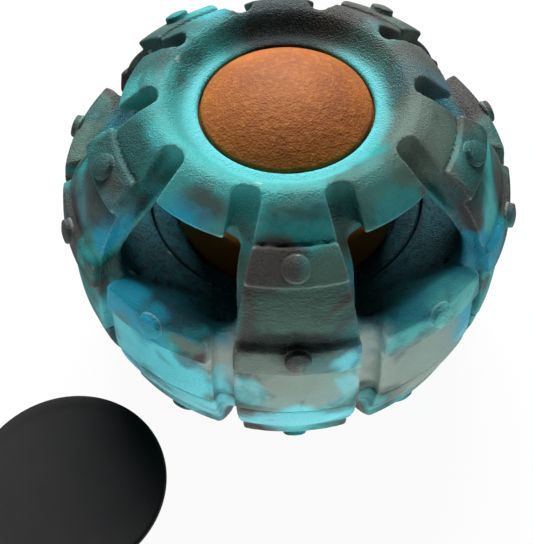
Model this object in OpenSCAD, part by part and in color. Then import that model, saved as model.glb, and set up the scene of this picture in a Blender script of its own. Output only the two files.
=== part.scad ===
// Treat dispensing ball: a tyre-treaded rubber shell that screws onto a base cap,
// with a moulded treat seated inside and a stopper for the mouth.
// Origin at the centre of the base's foot, +Z up, and the front rib on -Y.
// An azimuth is counted from -Y towards +X.

/* [Tread] */
// Radius of the carcass under its plates at the widest point
carcass_r = 54.6; // [53.5:0.1:55.5]
// Height of the widest point above the foot
equator_h = 31.7; // [30.5:0.1:32.5]
// Profile radius of the belt from the seam up to the shoulder
belt_r = 110; // [100:1:130]
// How far a tread plate stands out of the carcass
plate_t = 1.6; // [1.2:0.1:2]
// Length of the bevel along a plate's upper edge
plate_bevel = 2.6; // [1.5:0.1:3]
// Profile radius of the shoulder above the widest point
shoulder_r = 28.5; // [27:0.5:30]
// Slope at which the shoulder leaves the ball, in degrees
shoulder_from = 10; // [9:0.5:11]
// Slope at which the shoulder meets the top ring, in degrees
shoulder_to = 62; // [60:0.5:64]
// Sectors round the ball, ribs and windows together
sectors = 10; // [10]
// Width of a tread groove
groove_w = 6; // [5:0.1:6.6]
// Depth of a tread groove below the carcass
groove_d = 3.2; // [2:0.1:3.4]

/* [Upper plates] */
// Lower edge of the plate above the widest point, as a slope in degrees
belt_from = 8; // [7.5:0.1:9]
// Upper edge of that plate, in degrees
belt_to = 22; // [21:0.5:23]
// Lower edge of a rib's upper plate, in degrees
rib_plate_from = 45; // [44:0.5:47]
// Upper edge of a rib's upper plate, in degrees
rib_plate_to = 60; // [58:0.5:61]
// How far a rib's upper plate stands out of the carcass
rib_plate_t = 2.2; // [1.8:0.1:2.4]

/* [Rivets] */
// Radius of a rivet head where it meets its plate
rivet_r = 2.9; // [2.4:0.1:3.2]
// Height of a rivet head
rivet_h = 1.9; // [1.4:0.1:2.2]

/* [Top ring] */
// Height of the crown above the foot
crown_h = 79; // [78.5:0.1:79.5]
// Radius of the crown at its inner edge
crown_in_r = 28.6; // [28:0.1:29]
// Width of the crown that is left inside the round ends of the grooves
groove_end = 0.7; // [0.5:0.1:1]
// Radius of the crown at its outer edge
crown_out_r = 30.8; // [30.4:0.1:31.4]
// How much lower the crown is at both edges than in its middle
crown_camber = 0.3; // [0.2:0.1:0.5]
// Radius where the crown turns into the sloping band
band_r = 32.6; // [32:0.1:33.2]
// Drop of the crown to the top of the sloping band
band_drop = 1.2; // [0.9:0.1:1.6]
// Radius of the band's foot
band_foot_r = 38.9; // [38.5:0.1:39.2]
// Height of the band's foot
band_foot_h = 72.1; // [71.8:0.1:72.5]
// Outer radius of the flat lip round the mouth
lip_r = 22.4; // [22:0.1:23]
// Height of the lip above the foot
lip_h = 74.2; // [74:0.1:74.6]
// Radius of the mouth
mouth_r = 20.2; // [19.8:0.1:20.6]
// Thickness of the lip at the mouth
lip_t = 2.1; // [2:0.1:2.5]
// Rounding of the mouth's upper edge
mouth_round = 0.9; // [0.6:0.1:1.2]

/* [Windows] */
// Height of a window's lower edge
window_low_h = 56.4; // [56:0.2:58]
// Height of a window's upper edge, under the band's foot
window_top_h = 70.9; // [70:0.1:71.1]
// Width that a window's sides run out to at its lower edge
window_low_w = 32; // [30:0.5:33]
// Width of a window at its upper edge
window_top_w = 19.5; // [18.5:0.5:20]
// Rounding of a window's lower corners
window_low_round = 9; // [6:0.5:10]
// Rounding of a window's upper corners
window_top_round = 1.6; // [1:0.1:2]
// Radius that a window runs in to, under the ring
window_in_r = 33.5; // [33:0.1:34.5]

/* [Shell wall] */
// Thickness of the shell's wall under the carcass
wall_t = 5.6; // [5:0.1:6]

/* [Screw closure] */
// Height of the seam between shell and base
seam_h = 28.8; // [28:0.2:29.4]
// Bevel of both edges at the seam
seam_bevel = 0.7; // [0.4:0.1:1]
// Bore of the shell's collar
collar_r = 46; // [45.5:0.1:46.5]
// Height of the collar's bore
collar_l = 9.5; // [9:0.1:10.5]
// Running clearance of the base's pilot in the collar
pilot_clear = 0.08; // [0.04:0.01:0.1]
// Height of the pilot
pilot_l = 2.4; // [2:0.1:3]
// Room left for the screw thread beside the neck
thread_room = 1.6; // [1.2:0.1:2]
// Height of the neck above the seam
neck_l = 8.6; // [8:0.1:9]
// Radius of the neck's mouth
neck_in_r = 41.5; // [41:0.1:42]

/* [Base] */
// Outer radius of the foot
foot_r = 36.2; // [35.5:0.1:37]
// Outer radius of the base at the seam
base_rim_r = 54.2; // [53.5:0.1:54.4]
// Profile radius of the base from the seam down to the foot
base_arc_r = 33; // [32:0.5:34]
// Height of that profile's centre
base_arc_h = 30; // [29:0.5:30.5]
// Radius of the closed disc under the base
disc_r = 26.6; // [25.5:0.1:27.5]
// Depth of that disc inside the foot
disc_d = 1.8; // [1.2:0.1:2.4]
// Upper edge of the base's plate, as a slope of its profile, in degrees
base_plate_from = 27; // [25:0.5:29]
// Lower edge of that plate, in degrees
base_plate_to = 50; // [48:0.5:51]
// Height of the deck at its lowest place, beside the seat
deck_h = 33; // [32.6:0.1:33.4]
// Radius of the well under the treat
well_r = 24; // [23:0.5:24.5]
// Radius of the well's floor
well_floor_r = 20; // [19:0.5:20.5]
// Thickness of the base's floor
floor_t = 6.2; // [5:0.1:7]
// Wall of the seat ring
seat_wall = 2.6; // [2.2:0.1:3]
// How far the seat ring stands above the seat
seat_lip = 2.5; // [2:0.1:2.8]
// Height of the seat above the foot
seat_h = 36.5; // [36:0.1:36.6]

/* [Treat] */
// Radius of the treat
treat_r = 27.5; // [27:0.1:27.8]
// Height of the treat
treat_l = 44; // [43.6:0.1:44.2]
// Rounding of the treat's bottom edge
treat_round = 5; // [4:0.5:6]
// Room round the treat in its seat
treat_clear = 0.5; // [0.4:0.1:0.8]

/* [Stopper] */
// Radius of the stopper's flange
flange_r = 23.8; // [23.4:0.1:24.2]
// Thickness of the flange at its rim
flange_t = 1.8; // [1.5:0.1:2.2]
// How far the flange's top is dished
flange_dish = 0.7; // [0.4:0.1:1]
// Radius of the stopper's barrel
barrel_r = 19.8; // [19.5:0.1:20]
// Height of the barrel
barrel_l = 10; // [9:0.5:11]
// Wall of the barrel
barrel_wall = 3; // [2.5:0.1:4]
// How far a grip bead stands out of the barrel
bead_h = 0.25; // [0.1:0.05:0.3]
// Width of a grip bead
bead_w = 0.9; // [0.7:0.1:1.2]
// Azimuth of the stopper where it stands beside the ball, in degrees
stopper_azimuth = -42; // [-60:1:-30]
// Gap between the stopper's flange and the ball beside it
stopper_gap = 1; // [0.5:0.5:10]

/* [Hidden] */
$fn = 96;

// One overrun for every cut
over = 1;
// Steps of an arc in an outline, in degrees: of a wide one, and of a narrow one
arc_step = 5;
round_step = 15;
ball_r = carcass_r + plate_t;
belt_c = [carcass_r - belt_r, equator_h];
shoulder_c = belt_c + (belt_r - shoulder_r) * [cos(shoulder_from), sin(shoulder_from)];
base_c = [base_rim_r - sqrt(pow(base_arc_r, 2) - pow(seam_h - base_arc_h, 2)), base_arc_h];
seam_slope = asin((seam_h - equator_h) / belt_r);
base_seam_slope = asin((seam_h - base_arc_h) / base_arc_r);
sector = 360 / sectors;
collar_top_h = seam_h + collar_l;
neck_r = collar_r - thread_room;
seat_r = treat_r + treat_clear;
seat_out_r = seat_r + seat_wall;
seat_round = seat_wall / 4;
shell_color = [0.16, 0.40, 0.41];
treat_color = [0.70, 0.38, 0.13];
stopper_color = [0.06, 0.06, 0.06];

// Slope that a length takes up on a profile of a radius, in degrees
function slope_of(length, r) = length / r * 180 / PI;

// Point of the shell's profile at a slope, moved out by a distance
function tread_point(slope, out) = slope < shoulder_from
    ? belt_c + (belt_r + out) * [cos(slope), sin(slope)]
    : shoulder_c + (shoulder_r + out) * [cos(slope), sin(slope)];

// Slope of the belt at a height, on a profile moved out by a distance
function belt_slope(h, out) = asin((h - equator_h) / (belt_r + out));

// The shell's profile between two slopes
function tread_arc(from, to, out) =
    let (steps = max(1, ceil(abs(to - from) / arc_step)))
    [for (i = [0:steps]) tread_point(from + (to - from) * i / steps, out)];

// Point of the base's profile at a slope, moved out by a distance
function base_point(slope, out) = base_c + (base_arc_r + out) * [cos(slope), sin(slope)];

// The base's profile between two slopes
function base_arc(from, to, out) =
    let (steps = max(1, ceil(abs(to - from) / arc_step)))
    [for (i = [0:steps]) base_point(from + (to - from) * i / steps, out)];

// Points of a circle's arc about a centre
function arc(centre, r, from, to) =
    let (steps = max(2, ceil(abs(to - from) / round_step)))
    [for (i = [0:steps]) let (a = from + (to - from) * i / steps)
        centre + r * [cos(a), sin(a)]];

function unit(v) = v / norm(v);

// Rounded corner at b between a and c
function corner(a, b, c, r) =
    let (
        u = unit(a - b),
        w = unit(c - b),
        half = acos(u * w) / 2,
        centre = b + unit(u + w) * r / sin(half),
        turn = 180 - 2 * half,
        p = b + u * r / tan(half) - centre,
        q = b + w * r / tan(half) - centre,
        steps = ceil(turn / round_step)
    )
    [for (i = [0:steps])
        centre + (p * sin(turn * (1 - i / steps)) + q * sin(turn * i / steps)) / sin(turn)];

// Turns what is drawn along +X to an azimuth
module at_azimuth(azimuth) {
    rotate([0, 0, azimuth - 90]) children();
}

// Vertical slot with a round inner end, from a radius outwards
module groove_slot(in_r, from_h, to_h) {
    half = groove_w / 2;
    reach = ball_r + over;
    outline = concat([[reach, -half], [reach, half]], arc([in_r + half, 0], half, 90, 270));
    translate([0, 0, from_h])
        linear_extrude(to_h - from_h) polygon(outline);
}

// All grooves: the slots outside a floor that follows the tread
module grooves(in_r, from_h, to_h, floor_points) {
    difference() {
        for (i = [0:sectors - 1])
            at_azimuth(sector * (i + 1 / 2)) groove_slot(in_r, from_h, to_h);
        rotate_extrude() polygon(floor_points);
    }
}

// Domed rivet head that stands on a point of a profile, square to its slope
module rivet(foot, slope) {
    dome_r = (pow(rivet_r, 2) + pow(rivet_h, 2)) / (2 * rivet_h);
    centre = foot + (rivet_h - dome_r) * [cos(slope), sin(slope)];
    translate([centre[0], 0, centre[1]]) sphere(dome_r);
}

// One window's cutter: its outline drawn upright, run in level towards the axis
module window_cutter() {
    low = [window_low_w / 2, window_low_h];
    top = [window_top_w / 2, window_top_h];
    mirrored = [[-1, 0], [0, 1]];
    outline = concat(
        corner(low * mirrored, low, top, window_low_round),
        corner(low, top, top * mirrored, window_top_round),
        corner(top, top * mirrored, low * mirrored, window_top_round),
        corner(top * mirrored, low * mirrored, low, window_low_round));
    translate([window_in_r, 0, 0])
        rotate([90, 0, 90])
            linear_extrude(ball_r + over - window_in_r) polygon(outline);
}

// The ribs' upper plates: a ring, kept where a rib is
module rib_plates() {
    reach = ball_r + over;
    half_w = reach * tan(sector / 2);
    outline = concat(
        tread_arc(rib_plate_from, rib_plate_to, rib_plate_t),
        tread_arc(shoulder_to, rib_plate_from, -over));
    intersection() {
        rotate_extrude() polygon(outline);
        for (i = [0:sectors / 2 - 1])
            at_azimuth(sector * 2 * i) linear_extrude(crown_h)
                polygon([[0, 0], [reach, -half_w], [reach, half_w]]);
    }
}

// Profile of the shell: carcass, plates and top ring outside, cavity and collar inside
function shell_profile() =
    let (
        seam_edge = tread_point(seam_slope, 0),
        seam_from = seam_slope + slope_of(seam_bevel, belt_r),
        belt_bevel = slope_of(plate_bevel, shoulder_r),
        dish_w = crown_in_r - lip_r,
        dish_l = crown_h - crown_camber - lip_h,
        collar_slope = belt_slope(collar_top_h + over, -wall_t)
    )
    concat(
        [[collar_r, seam_h], seam_edge - [seam_bevel, 0]],
        tread_arc(seam_from, belt_from, 0),
        tread_arc(belt_from, belt_to - belt_bevel, plate_t),
        tread_arc(belt_to, shoulder_to, 0),
        [[band_foot_r, band_foot_h], [band_r, crown_h - band_drop], [crown_out_r, crown_h - crown_camber]],
        [[(crown_in_r + crown_out_r) / 2, crown_h]],
        [for (a = [180:-2 * round_step:0])
            [lip_r, lip_h] + [dish_w * a / 180, dish_l * (1 - cos(a)) / 2]],
        arc([mouth_r + mouth_round, lip_h - mouth_round], mouth_round, 90, 180),
        [[mouth_r, lip_h - lip_t], [lip_r, lip_h - lip_t]],
        tread_arc(shoulder_to, collar_slope, -wall_t),
        [[collar_r, collar_top_h]]
    );

// Floor of the shell's grooves, up to where they end in the crown
function shell_floor() =
    let (reach_h = seam_h - over)
    concat(
        [[0, reach_h], [tread_point(seam_slope, -groove_d)[0], reach_h]],
        tread_arc(seam_slope, shoulder_to, -groove_d),
        [[crown_in_r, crown_h - groove_d], [0, crown_h - groove_d]]
    );

module top_shell() {
    belt_middle = (belt_from + belt_to - slope_of(plate_bevel, shoulder_r)) / 2;
    rib_middle = (rib_plate_from + rib_plate_to) / 2;
    color(shell_color) union() {
        difference() {
            union() {
                rotate_extrude() polygon(shell_profile());
                rib_plates();
            }
            grooves(crown_in_r + groove_end, seam_h - over, crown_h + over, shell_floor());
            for (i = [0:sectors / 2 - 1])
                at_azimuth(sector * (2 * i + 1)) window_cutter();
        }
        for (i = [0:sectors - 1])
            at_azimuth(sector * i) rivet(tread_point(belt_middle, plate_t), belt_middle);
        for (i = [0:sectors / 2 - 1])
            at_azimuth(sector * 2 * i) rivet(tread_point(rib_middle, rib_plate_t), rib_middle);
    }
}

// Profile of the base: foot and plates outside, neck, deck, seat and well inside
function base_profile() =
    let (
        seam_edge = base_point(base_seam_slope, 0),
        seam_to = base_seam_slope - slope_of(seam_bevel, base_arc_r),
        bevel_to = base_plate_from + slope_of(plate_bevel, base_arc_r),
        neck_h = seam_h + neck_l,
        pilot_r = collar_r - pilot_clear,
        seat_top = seat_h + seat_lip
    )
    concat(
        [[0, disc_d], [disc_r, disc_d], [disc_r + disc_d / 2, 0], [foot_r, 0]],
        base_arc(-base_plate_to, -bevel_to, plate_t),
        base_arc(-base_plate_from, seam_to, 0),
        [seam_edge - [seam_bevel, 0], [pilot_r, seam_h], [pilot_r, seam_h + pilot_l]],
        [[neck_r, seam_h + pilot_l + thread_room], [neck_r, neck_h - seam_bevel]],
        [[neck_r - seam_bevel, neck_h], [neck_in_r, neck_h]],
        [[seat_out_r + seat_wall / 2, deck_h], [seat_out_r, deck_h + seat_round]],
        [[seat_out_r, seat_top - seat_round], [seat_out_r - seat_round, seat_top]],
        [[seat_r + seat_round, seat_top], [seat_r, seat_top - seat_round]],
        [[seat_r, seat_h], [well_r, seat_h]],
        [[well_floor_r, disc_d + floor_t], [0, disc_d + floor_t]]
    );

// Floor of the base's grooves, from inside the foot's edge up to the seam
function base_floor() =
    let (in_r = foot_r - groove_w, steepest = -acos((in_r - base_c[0]) / (base_arc_r - groove_d)))
    concat(
        [[0, -over], [in_r, -over]],
        base_arc(steepest, base_seam_slope, -groove_d),
        [[base_point(base_seam_slope, -groove_d)[0], seam_h + over], [0, seam_h + over]]
    );

module base_cap() {
    plate_middle = -(base_plate_from + base_plate_to + slope_of(plate_bevel, base_arc_r)) / 2;
    color(shell_color) union() {
        difference() {
            rotate_extrude() polygon(base_profile());
            difference() {
                grooves(foot_r - groove_w, -over, seam_h + over, base_floor());
                translate([0, 0, seam_h]) cylinder(r = collar_r, h = 2 * over);
            }
        }
        for (i = [0:sectors - 1])
            at_azimuth(sector * i) rivet(base_point(plate_middle, plate_t), plate_middle);
    }
}

module treat_ball() {
    dome_c = [0, seat_h + treat_l - treat_r];
    outline = concat(
        [[0, seat_h]],
        arc([treat_r - treat_round, seat_h + treat_round], treat_round, -90, 0),
        arc(dome_c, treat_r, 0, 90));
    color(treat_color) rotate_extrude() polygon(outline);
}

// Profile of the stopper, standing on its barrel
function stopper_profile() = let (top = barrel_l + flange_t, in_r = barrel_r - barrel_wall)
    concat(
        [[in_r, 0], [barrel_r - bead_h, 0], [barrel_r, bead_h]],
        [for (i = [0:1]) let (low = (1 + 2 * i) * bead_w)
            each [[barrel_r, low], [barrel_r + bead_h, low + bead_w / 4],
                [barrel_r + bead_h, low + 3 * bead_w / 4], [barrel_r, low + bead_w]]],
        [[barrel_r, barrel_l - 2 * bead_w], [barrel_r + bead_h, barrel_l - 7 * bead_w / 4]],
        [[barrel_r + bead_h, barrel_l - 5 * bead_w / 4], [barrel_r, barrel_l - bead_w], [barrel_r, barrel_l]],
        arc([flange_r - flange_t / 2, barrel_l + flange_t / 2], flange_t / 2, -90, 90),
        [[flange_r - 2 * flange_t, top - flange_dish / 2], [flange_r / 2, top - flange_dish], [0, top - flange_dish]],
        [[0, barrel_l - flange_t], [in_r - flange_t, barrel_l - flange_t], [in_r, barrel_l - 2 * flange_t]]
    );

module stopper() {
    // It stands clear of the whole ball, so that it can be lifted straight up
    stand_r = ball_r + rivet_h + stopper_gap + flange_r;
    color(stopper_color)
        at_azimuth(stopper_azimuth) translate([stand_r, 0, 0])
            rotate_extrude() polygon(stopper_profile());
}

base_cap();
treat_ball();
top_shell();
stopper();
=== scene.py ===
"""Dresses the treat dispensing ball: marbled rubber shell and base, moulded treat and stopper.

Lengths are in millimetres until a mesh is made, and in metres from then on.
An azimuth is counted from -Y towards +X, in degrees.
A Fade holds where something starts to show, where it shows fully, and its full share.
Spots hold a noise's size in millimetres, its detail, its roughness and its twist.
A fold holds the size of an eddy and how far it drags the colours, in millimetres.
"""

import functools
import logging
import math
from dataclasses import dataclass, field
from enum import Enum

import bpy
import numpy as np
import openvdb
from mathutils import Matrix, Vector


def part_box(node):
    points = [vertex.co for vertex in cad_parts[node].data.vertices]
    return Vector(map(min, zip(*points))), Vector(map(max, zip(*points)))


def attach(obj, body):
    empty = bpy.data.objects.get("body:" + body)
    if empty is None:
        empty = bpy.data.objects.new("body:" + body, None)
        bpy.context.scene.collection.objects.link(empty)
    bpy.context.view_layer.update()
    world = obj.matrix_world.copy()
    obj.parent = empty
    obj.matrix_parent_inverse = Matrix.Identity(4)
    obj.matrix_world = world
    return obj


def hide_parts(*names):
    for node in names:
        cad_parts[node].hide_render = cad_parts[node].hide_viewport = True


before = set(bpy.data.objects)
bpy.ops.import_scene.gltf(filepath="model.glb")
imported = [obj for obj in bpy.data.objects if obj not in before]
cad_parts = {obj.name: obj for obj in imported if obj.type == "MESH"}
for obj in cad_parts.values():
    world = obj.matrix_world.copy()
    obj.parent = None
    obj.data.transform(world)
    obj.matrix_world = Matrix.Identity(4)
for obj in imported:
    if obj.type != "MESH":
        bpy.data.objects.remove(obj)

MM = 0.001
Point = tuple[float, float]
Fade = tuple[float, float, float]
Spots = tuple[float, ...]
Socket = bpy.types.NodeSocket
AXIS_OVERRUN = -20.0
log = logging.getLogger("treat_ball")


class Slot(Enum):
    """Names of material slots."""

    RUBBER = "marbled_rubber"
    TREAT = "moulded_treat"
    SILICONE = "black_silicone"


class Body(Enum):
    """The bodies that pieces ride on."""

    BASE = "base"
    TREAT = "treat"
    SHELL = "shell"
    STOPPER = "stopper"


def linear(colour: str) -> tuple[float, float, float, float]:
    """Turns an sRGB hex colour into linear RGBA.

    Args:
        colour: six hex digits after a hash sign.

    Returns:
        The linear colour with alpha 1.
    """
    parts = [int(colour[i : i + 2], 16) / 255 for i in (1, 3, 5)]
    return (*(c / 12.92 if c <= 0.04045 else ((c + 0.055) / 1.055) ** 2.4 for c in parts), 1.0)


class Graph:
    """A node tree under construction."""

    def __init__(self, tree: bpy.types.NodeTree) -> None:
        """Empties the tree.

        Args:
            tree: the node tree.
        """
        self.tree = tree
        tree.nodes.clear()

    def add(self, kind: str, inputs: dict | None = None, **settings: object) -> bpy.types.Node:
        """Adds a node with its settings and links.

        Args:
            kind: the node's type name.
            inputs: for each socket's name or index, a value or the output that feeds it.
            settings: properties of the node.

        Returns:
            The new node.
        """
        made = self.tree.nodes.new(kind)
        for name, value in settings.items():
            setattr(made, name, value)
        for socket, value in (inputs or {}).items():
            if isinstance(value, Socket):
                self.tree.links.new(value, made.inputs[socket])
            else:
                made.inputs[socket].default_value = value
        return made

    def math(self, kind: str, a: object, b: object = 0.0, c: object = 0.0) -> Socket:
        """Output of a Math node."""
        return self.add("ShaderNodeMath", {0: a, 1: b, 2: c}, operation=kind).outputs[0]

    def point(self, x: object = 0.0, y: object = 0.0, z: object = 0.0) -> Socket:
        """Output of a Combine XYZ node."""
        return self.add("ShaderNodeCombineXYZ", {0: x, 1: y, 2: z}).outputs[0]


def placed(name: str, data: bpy.types.ID) -> bpy.types.Object:
    """Puts a new object with its data into the scene."""
    made = bpy.data.objects.new(name, data)
    bpy.context.scene.collection.objects.link(made)
    return made


def meshed(name: str, points: list, edges: list, faces: list) -> bpy.types.Object:
    """Puts a new mesh of points, edges and faces into the scene."""
    data = bpy.data.meshes.new(name)
    data.from_pydata(points, edges, faces)
    return placed(name, data)


def smooth_max(a: np.ndarray, b: np.ndarray, blend: float | np.ndarray,
               lower: bool = False) -> np.ndarray:
    """Larger of two distance fields, or the lower one, rounded over a blend length where they meet."""
    share = np.maximum(blend - np.abs(a - b), 0) / blend
    rounding = share * share * blend / 4
    return np.minimum(a, b) - rounding if lower else np.maximum(a, b) + rounding


def wrapped(azimuth: np.ndarray, first: float, pitch: float) -> np.ndarray:
    """Angle in radians from the nearest of the azimuths first, first + pitch and so on."""
    return np.radians((azimuth - first + pitch / 2) % pitch - pitch / 2)


def polar(centre: Point, radius: float, angle: float) -> Point:
    """Point round a centre, at a radius and an angle in degrees."""
    a = math.radians(angle)
    return (centre[0] + radius * math.cos(a), centre[1] + radius * math.sin(a))


def circle_arc(centre: Point, radius: float, start: float, stop: float, steps: int = 6) -> list[Point]:
    """Points of a circle's arc.

    Args:
        centre: the circle's centre.
        radius: its radius.
        start: the first angle, in degrees.
        stop: the last angle, in degrees.
        steps: the number of steps between them.

    Returns:
        The points, ends included.
    """
    return [polar(centre, radius, start + (stop - start) * i / steps) for i in range(steps + 1)]


@dataclass(frozen=True)
class Tread:
    """The tyre tread that shell and base share, in millimetres and degrees."""

    carcass_r: float = 54.6
    equator_h: float = 31.7
    belt_r: float = 110.0
    plate_t: float = 1.6
    plate_bevel: float = 2.6
    shoulder_r: float = 28.5
    shoulder_from: float = 10.0
    shoulder_to: float = 62.0
    sectors: int = 10
    groove_low_w: float = 5.0
    groove_top_w: float = 6.3
    groove_widens_h: float = 52.0
    groove_widens_l: float = 20.0
    groove_d: float = 3.2
    plate_blend: float = 0.25
    plate_root: float = 1.5
    floor_soften: float = 0.4
    overrun: float = 8.0
    seam_h: float = 28.8
    seam_bevel: float = 0.45
    collar_r: float = 46.0
    base_rim_r: float = 54.2
    base_arc_r: float = 33.0
    base_arc_h: float = 30.0
    edge: float = 0.6
    hollow: float = 1.8
    arc_step: float = 2.0
    room: Point = (1.5, 2.0)

    @property
    def ball_r(self) -> float:
        """Radius over the plates."""
        return self.carcass_r + self.plate_t

    @property
    def sector(self) -> float:
        """Azimuth that one rib or window takes up."""
        return 360 / self.sectors

    @property
    def seam_slope(self) -> float:
        """Slope of the shell's profile at the seam."""
        return math.degrees(math.asin((self.seam_h - self.equator_h) / self.belt_r))

    @property
    def base_seam_slope(self) -> float:
        """Slope of the base's profile at the seam."""
        return math.degrees(math.asin((self.seam_h - self.base_arc_h) / self.base_arc_r))

    @property
    def belt_c(self) -> Point:
        """Centre of the belt's profile."""
        return (self.carcass_r - self.belt_r, self.equator_h)

    @property
    def shoulder_c(self) -> Point:
        """Centre of the shoulder's profile."""
        return polar(self.belt_c, self.belt_r - self.shoulder_r, self.shoulder_from)

    @property
    def base_c(self) -> Point:
        """Centre of the base's profile."""
        reach = math.sqrt(self.base_arc_r ** 2 - (self.seam_h - self.base_arc_h) ** 2)
        return (self.base_rim_r - reach, self.base_arc_h)

    def point(self, slope: float, out: float = 0.0) -> Point:
        """Point of the shell's profile at a slope, moved out by a distance."""
        if slope >= self.shoulder_from:
            return polar(self.shoulder_c, self.shoulder_r + out, slope)
        return polar(self.belt_c, self.belt_r + out, slope)

    def base_point(self, slope: float, out: float = 0.0) -> Point:
        """Point of the base's profile at a slope, moved out by a distance."""
        return polar(self.base_c, self.base_arc_r + out, slope)

    def arc(self, start: float, stop: float, out: float = 0.0, base: bool = False) -> list[Point]:
        """Points of a profile between two slopes, moved out by a distance."""
        steps = max(1, math.ceil(abs(stop - start) / self.arc_step))
        place = self.base_point if base else self.point
        return [place(start + (stop - start) * i / steps, out) for i in range(steps + 1)]

    def block(self, low: float, high: float, voxel: float, kept_share: float) -> "Block":
        """Voxels for a solid between two heights, with room on every side."""
        aside, over = self.room
        return Block(self.ball_r + aside, low - over, high + over, voxel, kept_share)

    def half_groove(self, block: "Block") -> np.ndarray:
        """Half of the grooves' width at the voxels' heights: they widen towards the crown."""
        share = np.clip((block.heights - self.groove_widens_h) / self.groove_widens_l, 0, 1)
        return (self.groove_low_w + (self.groove_top_w - self.groove_low_w) * share) / 2

    def cut_grooves(self, solid: np.ndarray, block: "Block", end_r: float,
                    floor: "Profile") -> np.ndarray:
        """Takes the grooves out of a solid.

        Args:
            solid: the solid's distance field.
            block: its voxels.
            end_r: radius where the grooves end, rounded.
            floor: the solid whose surface the grooves' floors lie on.

        Returns:
            The field of what is left.
        """
        turn = wrapped(block.azimuth, self.sector / 2, self.sector)
        across = (block.radius * np.sin(turn))[..., None]
        along = (block.radius * np.cos(turn))[..., None]
        half = self.half_groove(block)
        round_end = np.hypot(across, along - end_r - half)
        slot = np.where(along > end_r + half, np.abs(across), round_end) - half
        return smooth_max(solid, -smooth_max(slot, -floor.over(block), self.hollow), self.edge)

    def add_plates(self, solid: np.ndarray, block: "Block", ring: "Profile", every: int,
                   bevel: float) -> np.ndarray:
        """Lays plates on a solid, with bevelled ends at the grooves.

        Args:
            solid: the solid's distance field.
            block: its voxels.
            ring: the plates' profile.
            every: 1 for a plate in each sector, 2 for each rib.
            bevel: length of the bevel at their ends.

        Returns:
            The field of both.
        """
        turn = wrapped(block.azimuth, 0, every * self.sector)
        across = np.abs(block.radius * np.sin(turn))[..., None]
        along = (block.radius * np.cos(turn))[..., None]
        half = math.radians(self.sector / 2)
        side = (across - along * math.tan(half)) * math.cos(half) + self.half_groove(block)
        plate = ring.over(block)
        bevelled = np.maximum(np.maximum(plate, side), (plate + side + bevel) * math.sqrt(0.5))
        return smooth_max(solid, bevelled, self.plate_blend, lower=True)


@dataclass
class Block:
    """Voxels round the ball's axis, in millimetres."""

    FAR = 4

    reach: float
    low: float
    high: float
    voxel: float
    kept_share: float
    step: float = field(init=False)
    radius: np.ndarray = field(init=False)
    azimuth: np.ndarray = field(init=False)
    heights: np.ndarray = field(init=False)

    def __post_init__(self) -> None:
        """Works out the radius, azimuth and height of the voxels."""
        self.step = self.voxel * 1.0
        across = np.arange(-self.reach, self.reach + self.step, self.step, dtype=np.float32)
        x, y = np.meshgrid(across, across, indexing="ij")
        self.radius = np.hypot(x, y)
        self.azimuth = np.degrees(np.arctan2(x, -y))
        self.heights = np.arange(self.low, self.high + self.step, self.step, dtype=np.float32)

    def mesh(self, name: str, distance: np.ndarray) -> bpy.types.Object:
        """Turns a distance field into a smooth closed mesh.

        Args:
            name: the object's name.
            distance: the field, below zero inside the solid.

        Returns:
            The object, in metres.
        """
        grid = openvdb.FloatGrid()
        grid.background = self.FAR * self.step
        grid.copyFromArray(distance.astype(np.float32))
        points, triangles, quads = grid.convertToPolygons(0.0, 0.0)
        points = (points * self.step + np.array([-self.reach, -self.reach, self.low])) * MM
        made = meshed(name, points, [], [*triangles.tolist(), *quads.tolist()])
        thin = made.modifiers.new("thin", "DECIMATE")
        thin.ratio = self.kept_share
        return settled(made)


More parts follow.
